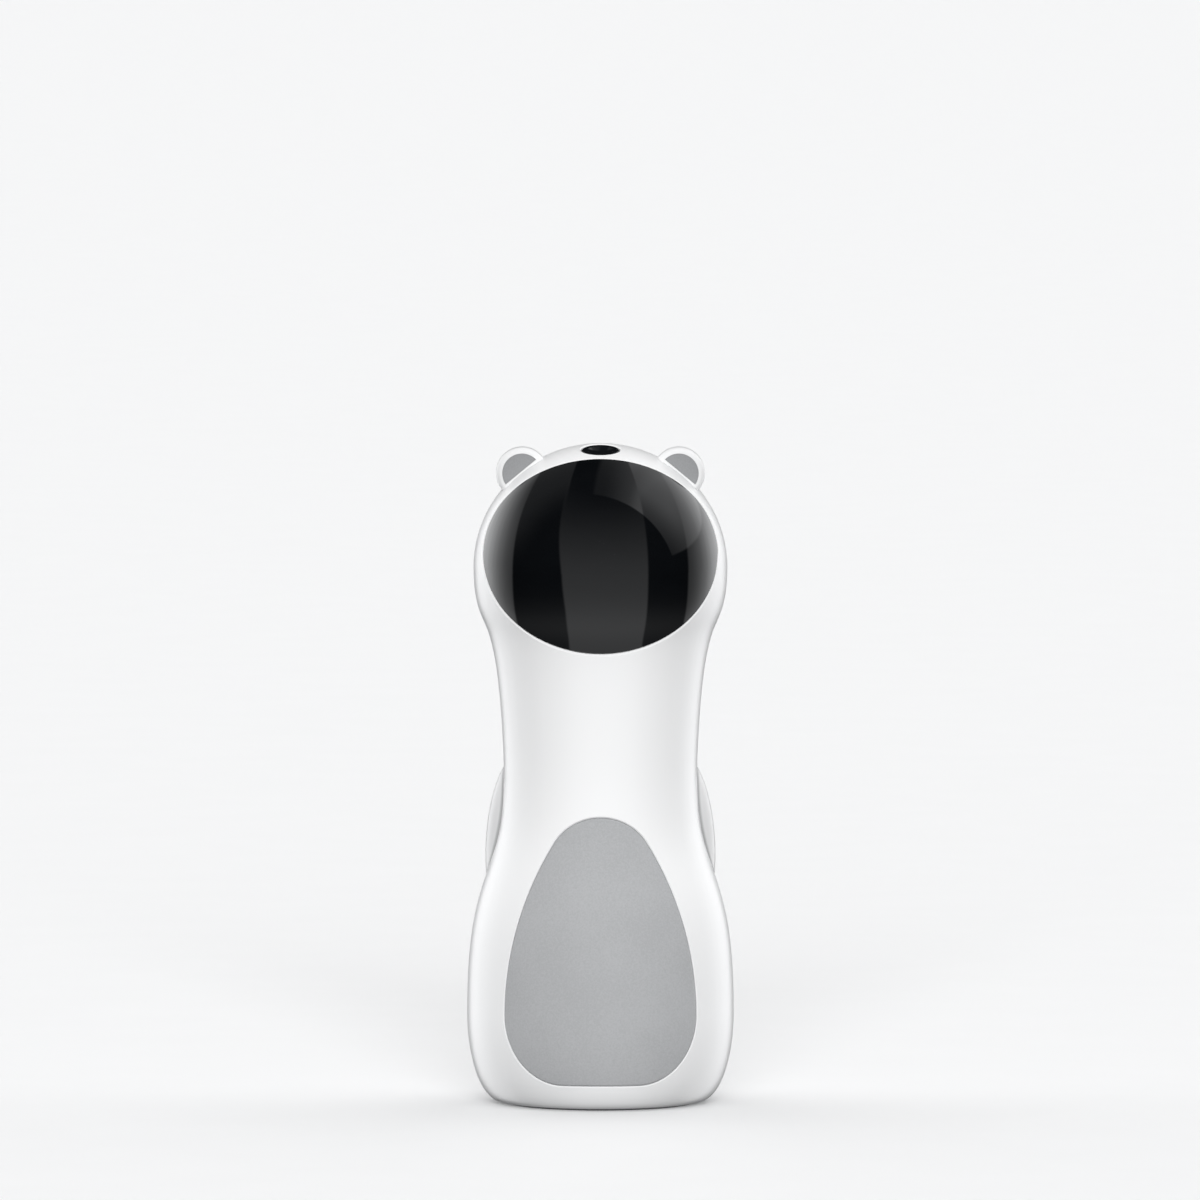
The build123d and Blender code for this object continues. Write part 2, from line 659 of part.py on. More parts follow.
def pan_motor_screws():
    one = screw(0.8, 2.2, 1.5, 1.0)
    return [Pos(side * MOTOR_SCREW_X, 0, DECK_TOP - 1.1) * one for side in (-1, 1)]


CLIP_WIDTH = 3.0
CLIP_WALL = 1.2
TILT_MOTOR_FRONT = GEAR_START - 0.8
CLIP_STARTS = (TILT_MOTOR_FRONT - 5.6, TILT_MOTOR_FRONT - 15.6)


def turret():
    plate = rod_z(TURRET_RADIUS, TURRET_BOTTOM, TURRET_TOP)
    clip_radius = TILT_MOTOR_RADIUS + CLIP_WALL
    rear_edge = TILT_MOTOR_Y + clip_radius
    side_edge = CLIP_STARTS[1] - 0.5
    far_edge = CLIP_STARTS[0] + CLIP_WIDTH + 0.5
    tail = block((side_edge, far_edge), (0, rear_edge), (TURRET_BOTTOM, TURRET_TOP))
    plate += fillet(tail.edges().filter_by(Axis.Z).sort_by(Axis.Y)[-2:], 2.0)
    plate += rod_z(4.0, DECK_TOP + 0.3, TURRET_BOTTOM)
    plate += block(
        (-STOP_FIN / 2, STOP_FIN / 2),
        (STOP_CIRCLE - 1.5, STOP_CIRCLE + 1.5),
        (DECK_TOP + 0.4, TURRET_BOTTOM),
    )
    # Cheeks that carry the cradle's pins
    for side in (-1, 1):
        near, far = sorted((side * CHEEK_INNER, side * CHEEK_OUTER))
        half = CHEEK_WIDTH / 2
        cheek = block((near, far), (-half, half), (TURRET_TOP, HEAD_LEVEL))
        cheek += rod_x(half, near, far, 0, HEAD_LEVEL)
        plate += cheek - rod_x(PIN_RADIUS + RUNNING_GAP, near, far, 0, HEAD_LEVEL)
    # Two spring clips that hold the tilt motor
    bore = TILT_MOTOR_RADIUS + 0.03
    for start in CLIP_STARTS:
        end = start + CLIP_WIDTH
        clip = rod_x(clip_radius, start, end, TILT_MOTOR_Y, TILT_MOTOR_Z)
        foot = (TILT_MOTOR_Y - clip_radius + 0.4, TILT_MOTOR_Y + clip_radius - 0.4)
        clip += block((start, end), foot, (TURRET_TOP, TILT_MOTOR_Z))
        clip -= rod_x(bore, start, end, TILT_MOTOR_Y, TILT_MOTOR_Z)
        slot = (TILT_MOTOR_Y - 0.8 * bore, TILT_MOTOR_Y + 0.8 * bore)
        plate += clip - block((start, end), slot, (TILT_MOTOR_Z, TILT_MOTOR_Z + FAR))
    # Keyed bore for the pan shaft
    bore = rod_z(SHAFT_RADIUS + 0.02, DECK_TOP, TURRET_TOP)
    return plate - (bore - block((-FAR, FAR), (SHAFT_FLAT + 0.02, FAR), (DECK_TOP + 0.6, 2 * FAR)))


# Gears: involute teeth with a little backlash
def involute(angle):
    return tan(angle) - angle


def gear_face(teeth):
    pitch = GEAR_MODULE * teeth / 2
    base = pitch * cos(radians(PRESSURE_ANGLE))
    tip = pitch + ADDENDUM
    root = pitch - DEDENDUM
    flank = max(base, root)
    half_pitch = (pi * GEAR_MODULE / 2 - BACKLASH) / (2 * pitch)

    def half_angle(radius):
        return half_pitch + involute(radians(PRESSURE_ANGLE)) - involute(acos(base / radius))

    def point(radius, angle):
        return (radius * cos(angle), radius * sin(angle))

    middle = (flank + tip) / 2
    edges = []
    for tooth in range(teeth):
        centre = 2 * pi * tooth / teeth
        foot = half_angle(flank)
        right = [point(r, centre - half_angle(r)) for r in (flank, middle, tip)]
        left = [point(r, centre + half_angle(r)) for r in (tip, middle, flank)]
        next_foot = point(root, centre + 2 * pi / teeth - foot)
        if root < flank:
            edges.append(Line(point(root, centre - foot), right[0]))
        edges.append(ThreePointArc(*right))
        edges.append(Line(right[2], left[0]))
        edges.append(ThreePointArc(*left))
        if root < flank:
            edges.append(Line(left[2], point(root, centre + foot)))
        edges.append(Line(point(root, centre + foot), next_foot))
    return make_face(edges)


def upright_gear(face, turn, y, z):
    """A gear face turned into place about an axis along X and given its width."""
    gear = extrude(Rot(0, 0, turn) * face, amount=GEAR_WIDTH)
    return Pos(GEAR_START, y, z) * Rot(0, 90, 0) * Rot(0, 0, 90) * gear


def tilt_sector():
    start = MESH_ANGLE - TILT_DOWN - 20
    end = MESH_ANGLE + TILT_UP + 20
    reach = 1.5 * PITCH_SECTOR
    corners = [(0, 0)]
    for step in range(5):
        angle = radians(start + (end - start) * step / 4)
        corners.append((reach * cos(angle), reach * sin(angle)))
    wedge = make_face(Polyline(*corners, close=True))
    whole = Rot(0, 0, MESH_ANGLE) * gear_face(SECTOR_TEETH)
    face = (whole & wedge) + Circle(2.6)
    return upright_gear(face - Circle(PIN_RADIUS + 0.01), 0, 0, HEAD_LEVEL)


def tilt_pinion():
    turn = MESH_ANGLE + 180 + 180 / PINION_TEETH
    face = gear_face(PINION_TEETH) - Circle(TILT_SHAFT_RADIUS + 0.01)
    return upright_gear(face, turn, TILT_MOTOR_Y, TILT_MOTOR_Z)


def tilt_shaft():
    return rod_x(TILT_SHAFT_RADIUS, TILT_MOTOR_FRONT - 3, GEAR_END + 0.4, TILT_MOTOR_Y, TILT_MOTOR_Z)


def tilt_motor():
    back = TILT_MOTOR_FRONT - TILT_MOTOR_LENGTH
    motor = rod_x(TILT_MOTOR_RADIUS, back, TILT_MOTOR_FRONT, TILT_MOTOR_Y, TILT_MOTOR_Z)
    motor += rod_x(1.0, back - 0.8, back, TILT_MOTOR_Y, TILT_MOTOR_Z)
    # Joint between the motor can and its gear head
    joint = TILT_MOTOR_FRONT - 9.0
    groove = rod_x(TILT_MOTOR_RADIUS, joint, joint + 0.4, TILT_MOTOR_Y, TILT_MOTOR_Z)
    motor -= groove - rod_x(TILT_MOTOR_RADIUS - 0.25, joint, joint + 0.4, TILT_MOTOR_Y, TILT_MOTOR_Z)
    bore = TILT_SHAFT_RADIUS + RUNNING_GAP
    return motor - rod_x(bore, TILT_MOTOR_FRONT - 3.2, FAR, TILT_MOTOR_Y, TILT_MOTOR_Z)


# Laser cradle on two pins, and the laser module it holds
PIN_START = LASER_RADIUS + 0.6


def laser_cradle():
    half = CRADLE_WIDTH / 2
    cradle = Pos(0, 0, HEAD_LEVEL) * Box(CRADLE_WIDTH, CRADLE_LENGTH, CRADLE_WIDTH)
    cradle = fillet(cradle.edges().filter_by(Axis.Y), 1.5)
    for side in (-1, 1):
        near, far = sorted((side * (half - 0.5), side * (half + CRADLE_SHOULDER)))
        cradle += rod_x(2.3, near, far, 0, HEAD_LEVEL)
        near, far = sorted((side * PIN_START, side * FAR))
        cradle -= rod_x(PIN_RADIUS + 0.01, near, far, 0, HEAD_LEVEL)
    return cradle - rod_y(LASER_RADIUS + 0.02, -FAR, FAR, 0, HEAD_LEVEL)


def cradle_pins():
    right = rod_x(PIN_RADIUS, PIN_START, GEAR_END + 0.3, 0, HEAD_LEVEL)
    left = rod_x(PIN_RADIUS, -CHEEK_OUTER - 0.3, -PIN_START, 0, HEAD_LEVEL)
    return [left, right]


LENS_RADIUS = 2.1


def laser_barrel():
    end = LASER_FRONT + LASER_LENGTH
    barrel = rod_y(LASER_RADIUS, LASER_FRONT, end, 0, HEAD_LEVEL)
    barrel = chamfer(barrel.edges().filter_by(GeomType.CIRCLE), 0.3)
    barrel -= rod_y(LENS_RADIUS + 0.02, LASER_FRONT, LASER_FRONT + 2.2, 0, HEAD_LEVEL)
    return barrel - rod_y(1.4, LASER_FRONT, end - 3.0, 0, HEAD_LEVEL)


def laser_lens():
    back = LASER_FRONT + 2.2
    front = back - 1.7
    dome = 3.2
    lens = rod_y(LENS_RADIUS, front, back, 0, HEAD_LEVEL)
    return lens & Pos(0, front + dome, HEAD_LEVEL) * Sphere(dome)


def laser_driver():
    start = LASER_FRONT + LASER_LENGTH
    return rod_y(LASER_RADIUS - 0.4, start, start + 0.8, 0, HEAD_LEVEL)


# Crown button and switch
def crown_button():
    cap = rod_z(BUTTON_RADIUS, FLANGE_TOP - 0.2, BUTTON_TOP)
    cap = fillet(cap.edges().sort_by(Axis.Z)[-1], 0.35)
    # Shallow dish for the finger
    dish = 9.0
    cap -= Pos(0, 0, BUTTON_TOP - 0.45 + dish) * Sphere(dish)
    cap += rod_z(FLANGE_RADIUS, FLANGE_TOP - 1.0, FLANGE_TOP)
    cap += rod_z(1.5, STEM_END, FLANGE_TOP - 0.5)
    return CROWN_AXIS * cap


def switch_plunger():
    return CROWN_AXIS * rod_z(1.7, SWITCH_TOP - 0.8, STEM_END)


def switch_body():
    half = SWITCH_WIDTH / 2
    body = block((-half, half), (-half, half), (SWITCH_BOARD_TOP, SWITCH_TOP))
    body = chamfer(body.edges().filter_by(Axis.Z), 0.5)
    return CROWN_AXIS * (body - rod_z(1.8, SWITCH_TOP - 0.8 - BUTTON_TRAVEL - 0.2, SWITCH_TOP))


def switch_board():
    width, depth = SWITCH_BOARD_WIDTH, SWITCH_BOARD_DEPTH
    bottom = SWITCH_BOARD_TOP - SWITCH_BOARD_THICKNESS
    board = block((-width / 2, width / 2), (-depth / 2, depth / 2), (bottom, SWITCH_BOARD_TOP))
    board = fillet(board.edges().filter_by(Axis.Z), 1.5)
    for side in (-1, 1):
        board -= rod_z(1.0, bottom, SWITCH_BOARD_TOP, side * SWITCH_POST_X)
    return CROWN_AXIS * board


def switch_board_screws():
    one = Rot(180, 0, 0) * screw(0.8, SWITCH_BOARD_THICKNESS + 3.0, 1.6, 1.1)
    bottom = SWITCH_BOARD_TOP - SWITCH_BOARD_THICKNESS
    return [CROWN_AXIS * Pos(side * SWITCH_POST_X, 0, bottom) * one for side in (-1, 1)]


# Main board with socket, chip, connectors and charge lamp
def main_board():
    half = BOARD_WIDTH / 2
    board = block((-half, half), (BOARD_FRONT, BOARD_BACK), (BOARD_BOTTOM, BOARD_TOP))
    board = fillet(board.edges().filter_by(Axis.Y), 1.5)
    for x, z in BOARD_SCREWS:
        board -= rod_y(1.1, BOARD_FRONT, BOARD_BACK, x, z)
    return board


def main_board_screws():
    one = Rot(90, 0, 0) * screw(0.85, BOARD_THICKNESS + 3.0, 1.8, 1.2)
    return [Pos(x, BOARD_FRONT, z) * one for x, z in BOARD_SCREWS]


def charging_socket():
    length = SOCKET_MOUTH - BOARD_BACK
    outside = Plane.XZ * SlotOverall(SOCKET_WIDTH, SOCKET_DEPTH)
    inside = Plane.XZ * SlotOverall(SOCKET_WIDTH - 0.6, SOCKET_DEPTH - 0.6)
    socket = Pos(0, BOARD_BACK, 0) * extrude(outside, amount=-length)
    socket -= Pos(0, BOARD_BACK + 3.5, 0) * extrude(inside, amount=-length)
    tongue = block((-3.35, 3.35), (BOARD_BACK + 3, SOCKET_MOUTH - 0.9), (-0.35, 0.35))
    return Pos(0, 0, SOCKET_HEIGHT) * (socket + tongue)


def control_chip():
    start = BOARD_FRONT - 1.5
    body = block((-5.0, 1.0), (start, BOARD_FRONT - 0.1), (CHIP_BOTTOM, CHIP_BOTTOM + 9))
    for side, x in ((-1, -5.0), (1, 1.0)):
        for row in range(7):
            z = CHIP_BOTTOM + 0.7 + 1.27 * row
            ends = sorted((x, x + side * 1.0))
            body += block(ends, (BOARD_FRONT - 0.5, BOARD_FRONT), (z - 0.2, z + 0.2))
    return body


def board_connectors():
    sockets = []
    for x, width in ((-7.0, 5.5), (1.5, 5.5)):
        z = BOARD_TOP - 9.5
        shell = block((x, x + width), (BOARD_FRONT - 5.0, BOARD_FRONT), (z, z + 4.2))
        mouth = (BOARD_FRONT - 5.0, BOARD_FRONT - 1.2)
        sockets.append(shell - block((x + 0.7, x + width - 0.7), mouth, (z + 0.7, z + 3.5)))
    return sockets


def charge_lamp():
    return Pos(LAMP_OFFSET, BOARD_BACK + 0.4, SOCKET_HEIGHT) * Box(1.6, 0.8, 1.0)


def charge_light():
    pipe = rod_y(LAMP_RADIUS, BOARD_BACK + 0.85, FAR, LAMP_OFFSET, SOCKET_HEIGHT) & body_form(0)
    collar = rod_y(LAMP_RADIUS + 0.6, BOARD_BACK + 5.0, BOARD_BACK + 6.0, LAMP_OFFSET, SOCKET_HEIGHT)
    return pipe + collar


# Battery cell in a tray that is screwed to posts of the front half
def battery_cell():
    half = CELL_WIDTH / 2
    depth = (CELL_BACK - CELL_THICKNESS, CELL_BACK)
    cell = block((-half, half), depth, (CELL_BOTTOM, CELL_BOTTOM + CELL_HEIGHT))
    return fillet(cell.edges().filter_by(Axis.Z), 0.3 * CELL_THICKNESS)


def battery_tray():
    inner = CELL_WIDTH / 2 + CELL_GAP
    tray = block((-TRAY_HALF, TRAY_HALF), (TRAY_FRONT, CELL_BACK - 1.0), (TRAY_BOTTOM, TRAY_TOP))
    low, high = TRAY_BOTTOM + TRAY_WALL, TRAY_TOP - TRAY_WALL
    tray -= block((-inner, inner), (TRAY_FRONT + TRAY_WALL, FAR), (low, high))
    for side in (-1, 1):
        near, far = sorted((side * (TRAY_HALF - 0.5), side * (TRAY_EAR_X + 2.4)))
        ear = block(
            (near, far),
            (TRAY_EAR_FRONT, TRAY_EAR_FRONT + TRAY_EAR_THICKNESS),
            (TRAY_EAR_HEIGHT - 3, TRAY_EAR_HEIGHT + 3),
        )
        tray += ear - rod_y(1.1, TRAY_EAR_FRONT, FAR, side * TRAY_EAR_X, TRAY_EAR_HEIGHT)
    return tray


def battery_tray_screws():
    one = Rot(-90, 0, 0) * screw(0.85, 6.0, 1.9, 1.2)
    back = TRAY_EAR_FRONT + TRAY_EAR_THICKNESS
    return [Pos(side * TRAY_EAR_X, back, TRAY_EAR_HEIGHT) * one for side in (-1, 1)]


EAR_RIGHT = right_ear()
PAD_RIGHT = right_ear_pad()
ARM_RIGHT = right_arm()

NODES = {
    "front_shell": front_shell(),
    "rear_shell": rear_shell(),
    "face_visor": face_visor(),
    "belly_panel": belly_panel(),
    "left_ear": mirrored(EAR_RIGHT),
    "right_ear": EAR_RIGHT,
    "left_ear_pad": mirrored(PAD_RIGHT),
    "right_ear_pad": PAD_RIGHT,
    "left_arm": mirrored(ARM_RIGHT),
    "right_arm": ARM_RIGHT,
    "foot_pad": foot_pad(),
    "shell_screws": shell_screws(),
    "chassis": chassis(),
    "chassis_screws": chassis_screws(),
    "pan_gearbox": pan_gearbox(),
    "pan_motor": pan_motor(),
    "pan_shaft": pan_shaft(),
    "pan_motor_screws": pan_motor_screws(),
    "turret": turret(),
    "tilt_motor": tilt_motor(),
    "tilt_shaft": tilt_shaft(),
    "tilt_pinion": tilt_pinion(),
    "tilt_sector": tilt_sector(),
    "laser_cradle": laser_cradle(),
    "cradle_pins": cradle_pins(),
    "laser_barrel": laser_barrel(),
    "laser_lens": laser_lens(),
    "laser_driver": laser_driver(),
    "crown_button": crown_button(),
    "switch_plunger": switch_plunger(),
    "switch_body": switch_body(),
    "switch_board": switch_board(),
    "switch_board_screws": switch_board_screws(),
    "main_board": main_board(),
    "main_board_screws": main_board_screws(),
    "charging_socket": charging_socket(),
    "control_chip": control_chip(),
    "board_connectors": board_connectors(),
    "charge_lamp": charge_lamp(),
    "charge_light": charge_light(),
    "battery_cell": battery_cell(),
    "battery_tray": battery_tray(),
    "battery_tray_screws": battery_tray_screws(),
}

os.makedirs("parts", exist_ok=True)
for name, shape in NODES.items():
    solids = shape if isinstance(shape, list) else [shape]
    solids = [solid for item in solids for solid in item.solids()]
    whole = solids[0] if len(solids) == 1 else Compound(children=solids)
    whole.label = name
    export_step(whole, f"parts/{name}.step")
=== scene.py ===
from math import cos, hypot, pi, radians, sin

import bmesh
import bpy
from mathutils import Matrix, Vector


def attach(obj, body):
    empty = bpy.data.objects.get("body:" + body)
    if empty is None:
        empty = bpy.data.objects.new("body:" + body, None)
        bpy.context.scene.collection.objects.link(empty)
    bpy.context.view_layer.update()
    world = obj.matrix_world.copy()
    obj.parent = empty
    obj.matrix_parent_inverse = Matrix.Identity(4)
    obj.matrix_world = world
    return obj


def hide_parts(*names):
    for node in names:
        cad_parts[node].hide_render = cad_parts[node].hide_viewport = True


# Cat laser toy, dressed for a studio picture.
# Metres. The front faces -Y, the floor is z = 0 and left is -X, as in the part's source.
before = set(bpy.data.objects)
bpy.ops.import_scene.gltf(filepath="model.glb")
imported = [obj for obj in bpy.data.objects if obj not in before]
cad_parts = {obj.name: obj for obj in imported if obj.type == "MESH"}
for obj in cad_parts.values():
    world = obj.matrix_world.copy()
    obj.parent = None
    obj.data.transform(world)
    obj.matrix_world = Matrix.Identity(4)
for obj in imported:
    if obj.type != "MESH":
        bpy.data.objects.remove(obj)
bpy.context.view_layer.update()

# Camera: a long lens, a little above the toy
PICTURE_PIXELS = 1200
METRES_PER_PIXEL = 0.000212
CAMERA_DISTANCE = 3.0
CAMERA_RISE = 3.5
SENSOR_WIDTH = 36.0
FARTHEST = 100.0
AIM = Vector((-0.0001, 0.0, 0.1067))

# Floor: half its side, and the two tones of its paper
FLOOR_HALF = 40.0
FLOOR_DARK = 0.86
FLOOR_LIGHT = 0.875

# The white's tone at the foot, and how far up it clears
FOOT_TONE = 0.985
FOOT_REACH = 0.08

# The waist's skin, where the arms lie and their painted shadow runs: its narrowest level and radius, and
# how it widens below that
WAIST_HEIGHT = 0.070
WAIST_RADIUS = 0.02053
WAIST_FLARE = 7.8
# The painted shadow line along it: its tone, and the gaps from the skin over which it fades
SEAM_SHADOW_TONE = 0.58
SEAM_SHADOW_START = 0.0001
SEAM_SHADOW_END = 0.0006


class Wire:
    """One value on a sheet of shader nodes. Python's operators add Math nodes."""

    def __init__(self, sheet, socket):
        self.sheet = sheet
        self.socket = socket

    def math(self, operation, *others):
        values = dict(enumerate((self, *others)))
        return self.sheet.add("ShaderNodeMath", {"operation": operation}, values)

    def __add__(self, other):
        return self.math("ADD", other)

    def __sub__(self, other):
        return self.math("SUBTRACT", other)

    def __rsub__(self, other):
        return self.math("MULTIPLY_ADD", -1.0, other)

    def __mul__(self, other):
        return self.math("MULTIPLY", other)

    def __truediv__(self, other):
        return self.math("DIVIDE", other)

    def __abs__(self):
        return self.math("ABSOLUTE")

    __radd__ = __add__
    __rmul__ = __mul__

    def step(self, start, end):
        """0 at start and 1 at end, with a soft change between them."""
        settings = {"interpolation_type": "SMOOTHSTEP"}
        values = {"Value": self, "From Min": start, "From Max": end}
        return self.sheet.add("ShaderNodeMapRange", settings, values)

    def between(self, low, high, soft):
        """1 between two values and 0 outside them."""
        return self.step(low - soft, low + soft) * (1 - self.step(high - soft, high + soft))


class Sheet:
    """The nodes of one material or of the surroundings."""

    def __init__(self, tree):
        self.tree = tree
        tree.nodes.clear()

    def add(self, kind, settings=None, inputs=None, output=0):
        """A node with its settings made first, then its inputs linked or set."""
        node = self.tree.nodes.new(kind)
        for name, value in (settings or {}).items():
            setattr(node, name, value)
        for name, value in (inputs or {}).items():
            if isinstance(value, Wire):
                self.tree.links.new(value.socket, node.inputs[name])
            else:
                node.inputs[name].default_value = value
        return Wire(self, node.outputs[output]) if node.outputs else None

    def place(self, scale=(1.0, 1.0, 1.0)):
        """Coordinates on the piece, in metres times the scale."""
        here = self.add("ShaderNodeTexCoord", output="Object")
        return self.add("ShaderNodeMapping", None, {"Vector": here, "Scale": scale})

    def axes(self, where):
        """The three coordinates of a place or a direction."""
        node = self.add("ShaderNodeSeparateXYZ", None, {0: where}).socket.node
        return [Wire(self, output) for output in node.outputs]

    def noise(self, where, scale, detail=2.0, roughness=0.5):
        values = {"Vector": where, "Scale": scale, "Detail": detail, "Roughness": roughness}
        return self.add("ShaderNodeTexNoise", None, values)

    def blend(self, factor, one, two):
        """A colour from one to two."""
        settings = {"data_type": "RGBA"}
        return self.add("ShaderNodeMix", settings, {0: factor, 6: one, 7: two}, output=2)

    def bump(self, height, strength, distance):
        values = {"Height": height, "Strength": strength, "Distance": distance}
        return self.add("ShaderNodeBump", None, values)


def grey(level, blue=0.0):
    """A grey as a colour, a little cooler where blue is above 0."""
    return (level, level * (1 + 0.4 * blue), level * (1 + blue), 1.0)


# Finishes, with the board's lines in a metre
LINES_ACROSS = 560.0
LINES_UP = 420.0


def new_finish(name):
    """An empty material and its sheet."""
    material = bpy.data.materials.new("finish_" + name)
    material.use_nodes = True
    return material, Sheet(material.node_tree)


def close_finish(material, sheet, inputs):
    """The material, ended with a surface that takes these inputs."""
    surface = sheet.add("ShaderNodeBsdfPrincipled", None, inputs)
    sheet.add("ShaderNodeOutputMaterial", None, {"Surface": surface})
    return material


def white_moulding(name, level, painted_seam_shadow=False):
    """Glossy white plastic, a little duller towards the foot, with the faint waviness of a moulded wall.
    Along a seam with the waist it is darker: a painted shadow line where the arm meets the body."""
    material, sheet = new_finish(name)
    where = sheet.place()
    x, y, height = sheet.axes(where)
    wave = sheet.noise(where, scale=25.0, detail=1.0)
    colour = sheet.blend(height.step(0.0, FOOT_REACH), grey(FOOT_TONE * level, 0.012), grey(level, 0.01))
    if painted_seam_shadow:
        # Painted shadow: the white darkens where the arm comes near the waist's skin
        below = WAIST_HEIGHT - height
        skin = WAIST_RADIUS + WAIST_FLARE * (below * below)
        gap = (x * x + y * y).math("SQRT") - skin
        colour = sheet.blend(gap.step(SEAM_SHADOW_START, SEAM_SHADOW_END), grey(SEAM_SHADOW_TONE * level, 0.02), colour)
    return close_finish(material, sheet, {
        "Base Color": colour,
        "Roughness": 0.29 + 0.05 * wave,
        "Normal": sheet.bump(wave, strength=0.02, distance=0.0005),
    })


def black_gloss(name, level, shine):
    """Deep black plastic with a polished skin that holds a few faint smears."""
    material, sheet = new_finish(name)
    where = sheet.place((1.0, 1.0, 2.5))
    smear = sheet.noise(where, scale=140.0, detail=4.0, roughness=0.6)
    return close_finish(material, sheet, {
        "Base Color": sheet.blend(smear, grey(level, 0.4), grey(1.6 * level, 0.4)),
        "Roughness": 0.03 + 0.03 * smear,
        "Specular IOR Level": shine,
    })


def satin_grey(name, level, speckle):
    """Satin plastic with a fine spark-eroded grain."""
    material, sheet = new_finish(name)
    where = sheet.place()
    grain = sheet.noise(where, scale=2600.0, roughness=0.7)
    cloud = sheet.noise(where, scale=90.0)
    tone = (0.75 * grain + 0.25 * cloud).step(0.35, 0.65)
    dark = grey(level * (1 - speckle), 0.04)
    light = grey(level * (1 + speckle), 0.04)
    return close_finish(material, sheet, {
        "Base Color": sheet.blend(tone, dark, light),
        "Roughness": 0.48 + 0.16 * grain,
        "Normal": sheet.bump(grain, strength=0.12, distance=0.0001),
    })


def plain_plastic(name, colour, roughness):
    """A plain moulding of plastic or rubber, with a fine grain and a little unevenness."""
    material, sheet = new_finish(name)
    where = sheet.place()
    grain = sheet.noise(where, scale=1500.0)
    cloud = sheet.noise(where, scale=160.0, detail=3.0)
    dark = tuple(0.85 * value for value in colour) + (1.0,)
    light = tuple(min(1.0, 1.1 * value) for value in colour) + (1.0,)
    return close_finish(material, sheet, {
        "Base Color": sheet.blend(cloud, dark, light),
        "Roughness": roughness + 0.15 * grain,
        "Normal": sheet.bump(grain, strength=0.1, distance=0.0001),
    })


def metal(name, colour, roughness, stretch):
    """Plated or ground metal with fine marks, which the stretch can draw along one direction."""
    material, sheet = new_finish(name)
    marks = sheet.noise(sheet.place(stretch), scale=900.0, detail=3.0, roughness=0.6)
    dark = tuple(0.8 * value for value in colour) + (1.0,)
    light = tuple(min(1.0, 1.1 * value) for value in colour) + (1.0,)
    return close_finish(material, sheet, {
        "Base Color": sheet.blend(marks, dark, light),
        "Metallic": 1.0,
        "Roughness": roughness + 0.18 * marks,
        "Normal": sheet.bump(marks, strength=0.08, distance=0.0001),
    })


def circuit_board():
    """Green solder mask over copper lines that run across and along the board."""
    material, sheet = new_finish("board_green")
    across, _, up = sheet.axes(sheet.place())
    along_pick = sheet.noise(sheet.place((1.0, 1.0, 0.15)), scale=420.0, detail=0.0)
    across_pick = sheet.noise(sheet.place((0.15, 1.0, 1.0)), scale=420.0, detail=0.0)
    along = (across * LINES_ACROSS).math("FRACT").between(0.38, 0.62, 0.06) * along_pick.step(0.52, 0.54)
    cross = (up * LINES_UP).math("FRACT").between(0.4, 0.6, 0.06) * across_pick.step(0.56, 0.58)
    line = along.math("MAXIMUM", cross)
    return close_finish(material, sheet, {
        "Base Color": sheet.blend(line, (0.012, 0.11, 0.05, 1.0), (0.05, 0.26, 0.11, 1.0)),
        "Roughness": 0.28 + 0.1 * line,
        "Coat Weight": 0.3 - 0.1 * line,
        "Normal": sheet.bump(line, strength=0.3, distance=0.0001),
    })


def cell_foil():
    """Silver pouch film with soft creases."""
    material, sheet = new_finish("cell_foil")
    crease = sheet.noise(sheet.place((1.0, 1.0, 0.4)), scale=180.0, detail=4.0, roughness=0.55)
    return close_finish(material, sheet, {
        "Base Color": sheet.blend(crease, grey(0.5, 0.03), grey(0.72, 0.03)),
        "Metallic": 0.9,
        "Roughness": 0.28 + 0.2 * crease,
        "Normal": sheet.bump(crease, strength=0.35, distance=0.0006),
    })


FINISHES = {
    "body_white": white_moulding("body_white", 0.825),
    "visor_black": black_gloss("visor_black", 0.0022, 0.5),
    "button_black": black_gloss("button_black", 0.005, 0.25),
    "panel_grey": satin_grey("panel_grey", 0.39, 0.06),
    "ear_grey": satin_grey("ear_grey", 0.265, 0.04),
    "foot_rubber": plain_plastic("foot_rubber", (0.06, 0.06, 0.065), 0.7),
    "screw_steel": metal("screw_steel", (0.55, 0.55, 0.58), 0.3, (1.0, 1.0, 1.0)),
    "frame_black": plain_plastic("frame_black", (0.03, 0.03, 0.033), 0.4),
    "gear_white": plain_plastic("gear_white", (0.72, 0.71, 0.66), 0.35),
    "motor_steel": metal("motor_steel", (0.6, 0.6, 0.62), 0.3, (1.0, 1.0, 12.0)),
    "shaft_steel": metal("shaft_steel", (0.62, 0.62, 0.64), 0.28, (8.0, 1.0, 1.0)),
    "brass": metal("brass", (0.75, 0.52, 0.2), 0.3, (1.0, 1.0, 8.0)),
    "lens_clear": plain_plastic("lens_clear", (0.75, 0.8, 0.85), 0.05),
    "board_green": circuit_board(),
    "chip_black": plain_plastic("chip_black", (0.02, 0.02, 0.022), 0.45),
    "connector_cream": plain_plastic("connector_cream", (0.78, 0.74, 0.64), 0.4),
    "socket_steel": metal("socket_steel", (0.7, 0.7, 0.72), 0.28, (1.0, 10.0, 1.0)),
    "lamp_clear": plain_plastic("lamp_clear", (0.8, 0.83, 0.86), 0.12),
    "cell_foil": cell_foil(),
}

# Arms and ears are a little greyer than the body, and the arms carry a painted shadow line along the waist
ARM_WHITE = white_moulding("arm_white", 0.64, painted_seam_shadow=True)
EAR_WHITE = white_moulding("ear_white", 0.76)
OWN_FINISHES = {
    "left_arm": ARM_WHITE,
    "right_arm": ARM_WHITE,
    "left_ear": EAR_WHITE,
    "right_ear": EAR_WHITE,
}


def paint_nodes():
    """Each node gets a finish of its own, or the one that its slot names."""
    for name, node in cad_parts.items():
        for slot in node.material_slots:
            slot.material = OWN_FINISHES.get(name) or FINISHES[slot.material.name.split(".")[0]]


